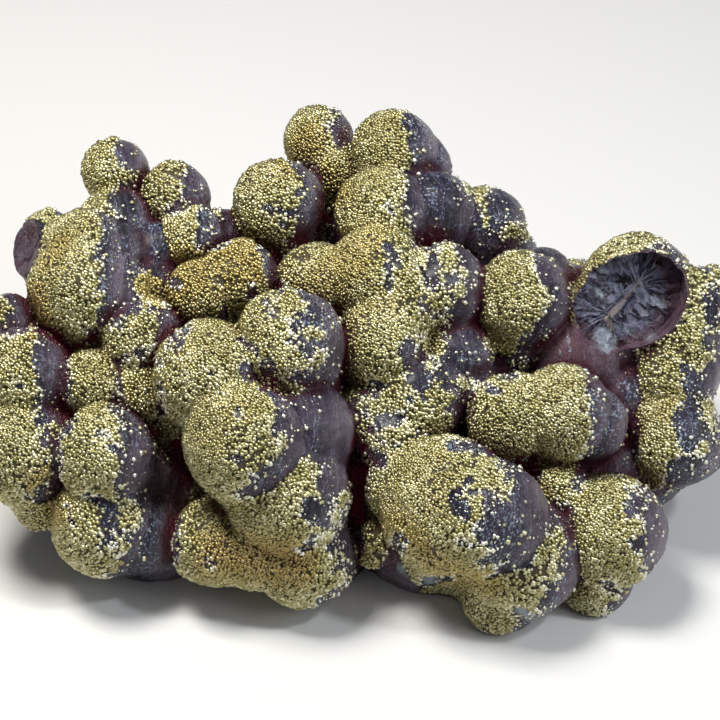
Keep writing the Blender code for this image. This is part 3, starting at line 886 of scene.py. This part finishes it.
# Where the pyrite of the display face differs from the rule of the settled side: stretches
# in mm as the viewer sees them, from across, up to across, up, and half their width
bareMarks = [
    (-58, 52.5, -56.5, 49.5, 3.8), (-55.2, 48.8, -55.2, 43.8, 1.5), (-41, 45.5, -41, 42, 3.5),
    (-47.5, 37.5, -44.5, 38.5, 1.8), (-59.5, 40, -56.2, 33.8, 3.5), (-58, 37, -53.5, 31, 2.5),
    (-53.8, 27.5, -53.8, 24.5, 3.8), (-38.5, 37, -39.2, 28.8, 2),
    (-34.5, 29.2, -38.5, 28.5, 1.8), (-61, 30.5, -60.5, 27.5, 4), (-59, 20, -59, 15, 4.8),
    (-62, 10.5, -60.5, 9.5, 2), (-63.2, 23.8, -63.2, 23, 1.8), (-47, 19.5, -45.5, 19, 1.5),
    (-48.8, 12, -44.5, 8.5, 2.5), (-47, 7.5, -46.2, 3.8, 2), (-24.5, 27.2, -21, 26.8, 1.2),
    (-21.5, 18.5, -20.2, 18, 2), (-27, 18, -27, 16, 1.5), (-86, 11.5, -84.5, 8.5, 2.2),
    (-89, 7.5, -87, 7.2, 1.5), (-77.5, 3.8, -76.2, -6.2, 4.5), (-78.8, -7.5, -77.5, -8.5, 1),
    (-86.5, -6.2, -85, -6.5, 1), (-75.5, -13.5, -74.5, -15, 4.2), (-77.5, -13, -80, -15, 1.8),
    (-76, -20, -76, -31.2, 2), (-55, 2, -54, 0.5, 1.5), (-60.5, -0.5, -58, 0.5, 1.2),
    (-52.5, -0.5, -50, -1, 1), (-59.5, -7, -59.5, -10, 1), (-49.5, -7, -49.2, -12.5, 1),
    (-61, -12, -58, -15, 2.2), (-65.5, -18.5, -63, -19, 1), (-62, -21.8, -61, -22.2, 0.75),
    (-53.5, -19, -53.5, -25.5, 3.8), (-58.5, -27.5, -60.5, -32.5, 1.5),
    (-68, -34, -62, -37, 1.8), (-63.5, -38, -60.5, -38, 1.2), (-62, -41, -60.5, -43, 1.2),
    (-58.5, -44, -56.5, -43.5, 1.2), (-63.5, -45.5, -61.5, -46, 0.75),
    (-50, -36.2, -49.5, -50, 4.8), (-57.5, -52.8, -52.5, -53.2, 1.5),
    (-54.5, -45, -53.5, -51.2, 2), (-36.8, -3.5, -36.8, -4, 0.88),
    (-35.5, -6.5, -35.5, -7.5, 0.88), (-29.8, 5, -26, 2, 1.2), (-29.8, 0, -29, -2.5, 1),
    (-28.5, -4.5, -27, -5.5, 1), (-9.5, 8.8, -8.5, -2.5, 6), (-15, 10.5, -15, 9.5, 2),
    (-23, -1.2, -22, -5, 2.2), (-15, -6.2, -10, -10, 4), (-17.5, 5, -17, 4.5, 1.2),
    (-17.5, -16.2, -17.5, -21.2, 5), (-19, -26.2, -24.5, -30.5, 2.5),
    (-27, -32.5, -30, -33.5, 1.5), (-30.5, -13.2, -30, -14, 1), (-31, -24.5, -30, -25, 1.2),
    (-27.5, -28.5, -26, -29, 1), (-10, -15, -8.8, -22.5, 5.5), (-3.8, -22.5, -2.5, -35, 5),
    (-9.5, -12.5, -7.5, -20, 5), (-12, -37, -10.5, -40, 3.2), (-9.5, -31.2, -8.5, -33.8, 2),
    (-3.8, -42.5, -2, -46.2, 3.2), (-7.5, -47, -3.8, -47, 1.5), (-2.5, -52.5, -3.8, -55.5, 2.2),
    (-6.2, -52, -4.5, -52.5, 1.2), (-2, -57.5, -6.2, -59, 1.2), (-37, -51.5, -36.5, -52, 0.75),
    (-3.8, 60.5, -4, 56.5, 3), (-7, 58, -6, 57, 1.2), (-7.5, 62.5, -6.5, 62, 0.75),
    (-11.5, 47, -11, 40, 2.2), (-14, 48, -13.5, 47, 1), (-15, 42.5, -14.2, 40, 1),
    (-24.5, 38, -15.5, 36.5, 1.2), (-19.5, 34, -16.5, 33.5, 1), (14, 60.5, 20, 50, 4),
    (13, 56.2, 13.5, 53.8, 1.5), (19.5, 46.2, 20, 42.5, 4.5), (10.5, 63, 12, 61.2, 1.2),
    (16, 38.8, 17.5, 32.5, 5.5), (25, 36.2, 26.2, 30, 5.5), (7, 28, 9, 24.5, 1.5),
    (7, 23.8, 7, 18, 1.2), (6.5, 38.5, 8.5, 37, 1), (18.2, 25, 18.5, 15, 2),
    (16, 14.5, 16.5, 10.5, 1.5), (27.5, 26.2, 28.5, 15, 3), (27, 13.8, 25, 6.2, 2.5),
    (23, 13, 23.8, 12, 0.75), (21.8, 7.5, 27.5, 3.8, 2.5), (12.5, 2.5, 14.5, -5, 3),
    (16, -3.8, 16.5, -8.8, 2), (21.2, 0, 28.8, -3, 3.5), (20, -3.8, 27.5, -6.2, 2),
    (25, -10, 27.5, -9, 2), (4.5, -6, 5, -7.5, 1), (3, -5.5, 3.5, -6.5, 0.75),
    (12, -9.5, 12.5, -11, 0.75), (5, -14.5, 10, -14.5, 1.5), (2, -17.5, 4.5, -17, 1.2),
    (22.5, -16.2, 25, -17.5, 2), (17, -18.5, 18.5, -18.5, 1.2), (5, -20, 10, -21.5, 0.75),
    (23, -21.2, 30, -21.5, 1.8), (1.2, -23, 5, -25.5, 2.2), (-1.2, -22.5, 0, -27.5, 3.5),
    (47, 24.5, 50, 18.8, 4), (40, 29.2, 45, 28, 1.5), (51.2, 15, 50.5, 12.5, 2.2),
    (45, 7.5, 50, 8.8, 2), (36.2, 27.5, 40, 28, 0.75), (27.5, 27.5, 27.5, 7.5, 3),
    (33.8, -1.2, 37.5, -3.8, 2), (42.5, 3.8, 50, 2.5, 3.5), (32, -7, 35, -8.5, 1),
    (61.5, -10, 61.5, -20, 4), (59.5, -23.8, 61.2, -22.5, 2), (57.5, -6.2, 60, -8, 2),
    (24, -33.5, 29.5, -33, 1), (31.5, -36.5, 33, -40, 1.8), (37.5, -36.2, 38.8, -46.2, 4.5),
    (42, -30, 42.5, -40, 3), (40, -46.2, 35, -49, 2.5), (32.5, -49, 30, -50.5, 1.2),
    (42.5, -50, 35, -51.5, 2), (25, -45, 27.5, -46.2, 1), (38, -29.5, 40, -28, 1.2),
    (35, -26.2, 38, -27.5, 1.5), (46.2, -40, 51.2, -42.5, 3), (52.5, -46.2, 53.8, -55, 2),
    (48, -38, 50, -39.5, 2), (50, -51.2, 50.5, -55, 1.2), (40, -63, 42.5, -65, 2),
    (46.2, -63, 46.2, -61.5, 1), (10, -45, 8.8, -47.5, 2), (54.5, -29.5, 54.2, -33, 1),
    (51.2, -36.2, 53, -38, 1.2), (49, -35, 50, -35.8, 0.75), (40, -25.5, 43.8, -28.8, 2.2),
    (73, -37.5, 73.8, -48.8, 3), (70, -32.5, 72, -35, 2), (68, -36.2, 69, -38.8, 1),
    (68, -45, 69, -47.5, 1), (71.2, -51.2, 72.5, -53, 1.5), (57.5, -26.2, 62.5, -27, 2),
    (60.5, -55.5, 64.5, -58, 1.2), (73, 28.5, 77, 28.5, 1.5), (78, 24.5, 80, 15, 2.2),
    (79, 10, 77, 7.5, 1.2), (88, 17.5, 88, 10, 2.2), (87.5, 7.5, 87, 3.8, 2),
    (85, 24.5, 86.2, 22.5, 1.5), (70, 3.8, 72.5, 2.5, 1.2), (81.2, -3.8, 85, -7.5, 3),
    (82, -12.5, 82.5, -20, 3.5), (80, -26.2, 78.8, -31.2, 3.5), (66.2, -10, 67, -22.5, 3),
    (67.5, 2.5, 68, -5, 2.5),
]
# Where its crystals stand in loose clusters, and how full these are
looseMarks = [
    (27, -35, 35, -43, 6, -0.02), (67, -31, 70, -50, 3, -0.02), (1, -12, 25, -14, 5.5, 0.04),
    (-22, 14, -12, 2, 4, 0.06), (-70, -37, -58, -48, 6, 0.10), (-44, -46, -38, -50, 3, 0.10),
]
# Where the cover reaches further
crustMarks = [
    (-60.5, 46.5, -58, 45.5, 1.8), (-53.8, 18.8, -50, 16.2, 3), (-52.5, 8.8, -55, 6.2, 2.5),
    (-77, -17, -76, -17.5, 1), (-49.5, -16, -49.5, -17.5, 1.5),
    (-50.5, -20, -48.5, -21.5, 0.75), (-57.5, -37.5, -57.5, -41, 2.2),
    (-13.5, 6.8, -10.5, 6.5, 1.2), (-12, -1.5, -10.5, 1, 1.2), (-19, 1, -15, -1, 1.8),
    (-18.5, -6.2, -15.5, -7, 1.2), (-23, 3, -21, 2, 1.5), (-22, -21.5, -21, -22.5, 1),
    (-20, -19.5, -19.5, -20, 0.75), (-12.5, -26.5, -12, -27.5, 1.2),
    (-13.8, -29.5, -17, -33.8, 1.8), (-15, -29.5, -13.5, -30.5, 1.5),
    (-4.2, -34.2, -6.5, -40, 1.1), (-7.5, -43.5, -10.5, -46.2, 1.2),
    (-10.5, -42, -13.5, -42.5, 0.75), (-6, -49.5, -7.5, -50.5, 1), (-9.5, -52, -12, -53, 1.8),
    (-5, -54.5, -8.5, -56.5, 1.5), (-10, -58, -12.5, -58.5, 1.2),
    (-5.5, 63.5, -4.5, 62.5, 0.75), (11, 36.2, 11.5, 35.5, 1), (11, 32.5, 12, 30.5, 1),
    (27.5, 43, 30.5, 42.5, 1.5), (13, 26.2, 15, 26, 1.8), (21.8, 27, 23, 23.5, 1.8),
    (25, 23, 26, 21, 1), (24.5, 18.8, 25, 16.5, 1.2), (20, 15, 21.5, 14.5, 1.8),
    (21, 10.5, 20, 9.5, 1.2), (17.5, 14.5, 19, 14, 1.2), (16.2, 9.5, 19, 6, 1.8),
    (16, 4, 19.5, 2.5, 1.8), (9, -8.8, 11.5, -8, 1.5), (25.5, -5.8, 27, -6.2, 1.2),
    (17.5, -8.8, 19, -10.5, 1.2), (19.5, -13, 21, -15, 1.8), (13.5, -12.5, 15, -13, 1),
    (15, -16, 16, -17, 1), (7.5, -17.5, 9, -18.5, 1.2), (6.2, -20.5, 7, -21.5, 1),
    (37.5, 32, 40.5, 31.5, 1.5), (32.5, 4.5, 33.5, 2.5, 1), (36.2, 3.8, 40.5, -1.2, 0.62),
    (37, -31.5, 35.5, -34, 1.2), (30, -31, 32, -31.5, 1), (49, -43, 50, -45, 1),
    (47, -46.2, 49, -49, 1.2), (45, -50, 47, -53.8, 2), (53.8, 15.5, 55.5, 18, 1.2),
    (57.5, 21.2, 60, 25.5, 1.2), (61, 27.5, 65, 28.5, 1.8), (67.5, 30, 71.2, 30, 2),
    (82.5, 21.2, 82.5, 10, 2.2), (82.5, 7.5, 77, 3.8, 2), (85, 18.8, 86.5, 17.5, 1.2),
    (69, 3, 70, 2, 0.75), (72.5, -1.2, 73.8, -10, 2.5), (77.5, -1.2, 78, -8.8, 2.5),
    (76.2, -10, 80, -8.8, 1.8), (73, -12.5, 73.8, -17.5, 2.2), (72.5, -20, 75, -23.8, 2.2),
    (72.5, -26.2, 73.8, -29.5, 2), (77.5, -23.8, 78.8, -22.5, 1), (82.5, -0.5, 86, 1.2, 1.2),
    (86.5, -11.2, 88, -17.5, 1.2), (85.8, -22.5, 86.5, -21.2, 1),
]


def seenFrom(points):
    # Across and up in mm, as the viewer sees them in the plane of the face's middle
    onFace = toFace(points)
    return onFace[:, :2] * (viewDistance / (viewDistance - onFace[:, 2]))[:, None]


def offMark(seen, row):
    # How far each seen place is from the middle line of a mark, less its half width
    start, end = np.array(row[:2]), np.array(row[2:4])
    run = end - start
    along = np.clip(((seen - start) @ run) / max(run @ run, 1e-9), 0.0, 1.0)
    return np.linalg.norm(seen - start - along[:, None] * run, axis=1) - row[4]


def coverAt(points, owner, outward):
    # How far inside the pyrite's cover a point lies, in lobe radii; negative is outside it
    deposit = alongFace(pyrite["deposit"])
    reach = np.radians(reaches[owner])
    inside = ((points - centres[owner]) @ deposit) / radii[owner] - np.cos(reach)
    ragged = noiseAt(points, 4.5, 5.0, 3) + 0.5 * noiseAt(points, 1.6, 6.0, 2)
    inside = inside + pyrite["rimBreak"] * ragged
    inside[reaches[owner] == 0] = -1.0
    rows = np.flatnonzero(outward @ alongFace((0, 0, 1)) > -0.3)  # what the viewer sees
    seen, rim, marked = seenFrom(points[rows]), pyrite["markBreak"] * ragged[rows], inside[rows]
    for mark in looseMarks:
        loose = 1.0 - rise(offMark(seen, mark), -1.5, 1.5)
        marked += (rim * 2.5 + mark[5] - marked) * loose * (marked > -0.1)
    for mark in bareMarks:
        marked = np.minimum(marked, offMark(seen, mark) / pyrite["markSlope"] + rim)
    for mark in crustMarks:
        marked = np.maximum(marked, rim - offMark(seen, mark) / pyrite["markSlope"])
    inside[rows] = marked
    return inside


def scatter(mesh, points, outward, hidden, inside, draw):
    # Random places for crystals over the skin, with the skin's values there
    mesh.calc_loop_triangles()
    corners = np.empty(len(mesh.loop_triangles) * 3, np.int32)
    mesh.loop_triangles.foreach_get("vertices", corners)
    corners = corners.reshape(-1, 3)
    a, b, c = (points[corners[:, i]] for i in range(3))
    area = np.linalg.norm(np.cross(b - a, c - a), axis=1) / 2
    chance = chanceAt(inside)
    weight = area * chance[corners].max(1)
    weight[points[corners][:, :, 2].max(1) < 0.5] = 0  # none on the flat cut
    count = int(weight.sum() * pyrite["tries"])
    chosen = draw.choice(len(weight), count, p=weight / weight.sum())
    u, v = draw.random(count), draw.random(count)
    over = u + v > 1
    u[over], v[over] = 1 - u[over], 1 - v[over]
    shares = np.column_stack([1 - u - v, u, v])
    at = corners[chosen]

    def blendOf(values):
        return (values[at] * shares.reshape(count, 3, *[1] * (values.ndim - 1))).sum(1)

    places, ways = blendOf(points), blendOf(outward)
    ways /= lengths(ways)
    here = blendOf(inside)
    keep = draw.random(count) < chanceAt(here) / np.maximum(chance[at].max(1), 1e-6)
    keep &= places[:, 2] > pyrite["aboveCut"]
    return places[keep], ways[keep], blendOf(hidden)[keep], here[keep]


def chanceAt(inside):
    # How likely a place has a crystal
    strays = pyrite["strays"] * (rise(inside, -0.9, -0.1) ** 2 + 5.0 * rise(inside, -0.3, 0.0) ** 2)
    return np.maximum(rise(inside, -0.05, 0.05), strays)


def thinOut(points, halves, draw):
    # Keeps points that are no nearer to each other than their crystals need
    order = np.argsort(-halves + draw.random(len(halves)) * 0.1)
    tree = KDTree(len(points))
    places = points.tolist()
    for i, point in enumerate(places):
        tree.insert(point, i)
    tree.balance()
    alive = bytearray(b"\1") * len(places)
    gaps = (halves * pyrite["spacing"]).tolist()
    kept = []
    for i in order.tolist():
        if alive[i]:
            kept.append(i)
            for _, other, _ in tree.find_range(places[i], gaps[i]):
                alive[other] = 0
    return np.array(kept)


def framesOn(outward, lean, draw):
    # For each crystal its own three axes, the last one along the skin's outward direction
    # but leaning by chance
    up = outward + draw.normal(size=outward.shape) * lean
    up /= lengths(up)
    side = np.cross(up, draw.normal(size=up.shape))
    side /= lengths(side)
    return np.stack([side, np.cross(up, side), up], axis=1)


def crystals(name, grown, draw):
    # One joined mesh of closed crystals, each a little sunk in the fluorite
    places, outward, halves, tones, depths = grown
    forms = [(*cutCubeForm(), 0.34), (*cubeForm(), 0.36), (*eightFaceForm(), 0.5)]
    kind = draw.choice(3, len(places), p=pyrite["forms"])
    parts, offset = [], 0
    for which, (shape, faces, lean) in enumerate(forms):
        rows = np.flatnonzero(kind == which)
        if not len(rows):
            continue
        stretch = draw.uniform((0.78, 0.78, 0.7), (1.2, 1.2, 1.0), (len(rows), 1, 3))
        turned = np.einsum("nkj,nji->nki", shape * stretch, framesOn(outward[rows], lean, draw))
        middle = places[rows] + outward[rows] * (halves[rows] * (1 - 2 * pyrite["sunk"]))[:, None]
        points = middle[:, None, :] + turned * halves[rows][:, None, None]
        starts = offset + np.arange(len(rows)) * len(shape)
        # each crystal's lower part, which the material paints darker as shade
        low = ((points - places[rows][:, None, :]) * outward[rows][:, None, :]).sum(2)
        low = 1.0 - rise(low / halves[rows][:, None], -0.5, 0.7)
        parts.append((
            points.reshape(-1, 3),
            (starts[:, None] + np.concatenate(faces)).ravel(),
            np.tile([len(face) for face in faces], len(rows)),
            np.repeat(tones[rows], len(shape)),
            np.maximum(depths[rows][:, None], low).ravel(),
        ))
        offset += len(rows) * len(shape)
    points, corners, sizes, tone, depth = map(np.concatenate, zip(*parts))
    mesh = meshFrom(name, points, corners, sizes)
    paint(mesh, "tone", tone)
    paint(mesh, "depth", depth)
    found = rawPoints(mesh) / mm
    warmAndShade, seen = noiseAt(found, 13.0, 9.0, 1) * 0.3, seenFrom(found)
    for row in warmAndShadeMarks:
        warmAndShade = np.maximum(warmAndShade, row[5] * (1.0 - rise(offMark(seen, row), -4.0, 4.0)))
    paint(mesh, "warmAndShade", warmAndShade)
    return mesh


def show(name, mesh, material, nodes):
    made = added(name, mesh)
    mesh.materials.clear()
    mesh.materials.append(material)
    mesh.polygons.foreach_set("material_index", np.zeros(len(mesh.polygons), np.int32))
    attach(made, "root")
    if nodes:
        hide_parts(*nodes)
    return made


def placeCrystals(mesh, points, outward, hidden, inside, draw):
    # Where crystals stand, their outward directions, half-widths and tones, and how far each
    # is down a crease
    places, outward, depths, inside = scatter(mesh, points, outward, hidden, inside, draw)
    say("%d places for pyrite" % len(places))
    bare, nearRim = 1.0 - rise(inside, -0.05, 0.10), 1.0 - rise(inside, 0.05, 0.55)
    sizes = draw.random(len(places)) ** (1.3 + 1.2 * bare)
    halves = np.zeros(len(places))
    for kind, share in (("size", 1 - nearRim), ("rimSize", nearRim - bare), ("straySize", bare)):
        small, large = pyrite[kind]
        halves += share * (small + (large - small) * sizes)
    kept = thinOut(places, halves, draw)
    gaps = noiseAt(places[kept], 1.0, 12.0) + 0.6 * noiseAt(places[kept], 11.0, 13.0)
    kept = kept[gaps < pyrite["gaps"]]
    places, bare = places[kept], bare[kept]
    tones = draw.random(len(places)) * 0.8 + noiseAt(places, 9.0, 8.0) * 0.3
    # lone crystals on bare fluorite get higher tones, painted cream-white as glints
    tones = np.clip(tones, 0, 1) + bare * (draw.random(len(places)) * 0.9 + 0.35)
    say("%d crystals" % len(places))
    return places, outward[kept], halves[kept], tones, depths[kept]


def sharedOut(places, nodes):
    # The number of the crust that each crystal belongs to, or -1
    join = pyrite["join"]
    nearest, crustOf = np.full(len(places), join), np.full(len(places), -1)
    for which, node in enumerate(nodes):
        low, high = (np.array(corner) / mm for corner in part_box(node))
        close = np.flatnonzero(((places > low - join) & (places < high + join)).all(1))
        tree = treeOf(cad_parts[node].data, mm)
        for i in close.tolist():
            found = tree.find_nearest(Vector(places[i]), nearest[i])
            if found[0] is not None and found[3] < nearest[i]:
                nearest[i], crustOf[i] = found[3], which
    say("crystals shared out to crusts")
    return crustOf


skinMesh, breakTrees = buildFluorite()
skinPoints, skinOut, skinHidden, skinInside, skinBroken = finishSkin(skinMesh, breakTrees)
say("fluorite skin of %d points" % len(skinMesh.vertices))

draw = np.random.default_rng(pyrite["seed"])
grown = placeCrystals(skinMesh, skinPoints, skinOut, skinHidden, skinInside, draw)
crustNodes = sorted(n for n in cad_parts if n.startswith("pyrite_"))
crustOf = sharedOut(grown[0], crustNodes)

purple = fluoriteMaterial()
brassy = pyriteMaterial()
skinMesh.transform(Matrix.Scale(mm, 4))
smooth = [not all(skinBroken[v] for v in face.vertices) for face in skinMesh.polygons]
skinMesh.polygons.foreach_set("use_smooth", smooth)
show("fluorite_mass", skinMesh, purple, ["fluorite"])
for which, node in enumerate(crustNodes):
    ours = [part[crustOf == which] for part in grown]
    show(node + "_crystals", crystals(node, ours, draw), brassy, [node])
behind = toFace(grown[0])[:, 2] < pyrite["behind"]
for name, side in (("pyrite_strays_front", ~behind), ("pyrite_strays_back", behind)):
    ours = [part[(crustOf < 0) & side] for part in grown]
    show(name, crystals(name, ours, draw), brassy, [])
say("pieces, %d triangles in all" % sum(trianglesOf(piece.data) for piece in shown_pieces()))

# The studio: a pale floor, a big soft light from the upper left, a fill and a small bright
# light that makes the crystals glint. Each lamp: its place on the display face and its size
# in mm, its watts and its tint
stage = {
    "floor": (0.66, 0.65, 0.63),
    "floorReach": 4000.0,        # mm
    "world": (0.30, 0.31, 0.34),
    "worldStrength": 0.45,
    "halfView": 90.0,            # mm to each side of the middle of the display face
    "clip": (0.01, 20.0),        # m, nearest and farthest that the camera sees
    "lamps": {
        "key": ((-195, 440, 330), 190, 4.55, (1.0, 0.98, 0.94)),
        "fill": ((520, 120, 420), 420, 1.8, (0.92, 0.95, 1.0)),
        "spark": ((380, 330, 480), 60, 1.5, (0.86, 0.93, 1.0)),
    },
}
reach = stage["floorReach"]
floorCorners = np.array([(-1, -1, 0), (1, -1, 0), (1, 1, 0), (-1, 1, 0)]) * reach
floorMesh = meshFrom("floor", floorCorners, np.arange(4), np.array([4]))
floor = added("floor", floorMesh)
floorMaterial, floorWire, floorShader = newMaterial("paleFloor")
feed(floorWire, floorShader, {"Base Color": (*stage["floor"], 1.0), "Roughness": 0.6})
floorMesh.materials.append(floorMaterial)
floor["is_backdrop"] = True


def aimed(name, data, place, toward):
    # A lamp or camera at a place on the display face, turned to a direction
    made = added(name, data)
    made.location = Vector(fromFace(place)) * mm
    made.rotation_mode = "QUATERNION"
    made.rotation_quaternion = Vector(toward).to_track_quat("-Z", "Y")
    return made


for name, (place, size, power, tint) in stage["lamps"].items():
    data = bpy.data.lights.new(name, "AREA")
    data.size, data.energy, data.color = size * mm, power, tint
    aimed(name, data, place, Vector(faceMiddle) * mm - Vector(fromFace(place)) * mm)

world = bpy.data.worlds.new("studio")
world.use_nodes = True
background = world.node_tree.nodes["Background"]
background.inputs["Color"].default_value = (*stage["world"], 1.0)
background.inputs["Strength"].default_value = stage["worldStrength"]
bpy.context.scene.world = world

cameraData = bpy.data.cameras.new("camera")
cameraData.sensor_width = sensor = 36.0
cameraData.lens = sensor / 2 * viewDistance / stage["halfView"]
cameraData.clip_start, cameraData.clip_end = stage["clip"]
camera = aimed("camera", cameraData, (0, 0, viewDistance), -alongFace((0, 0, 1)))
bpy.context.scene.camera = camera
bpy.context.scene.view_settings.view_transform = "Standard"
say("studio")
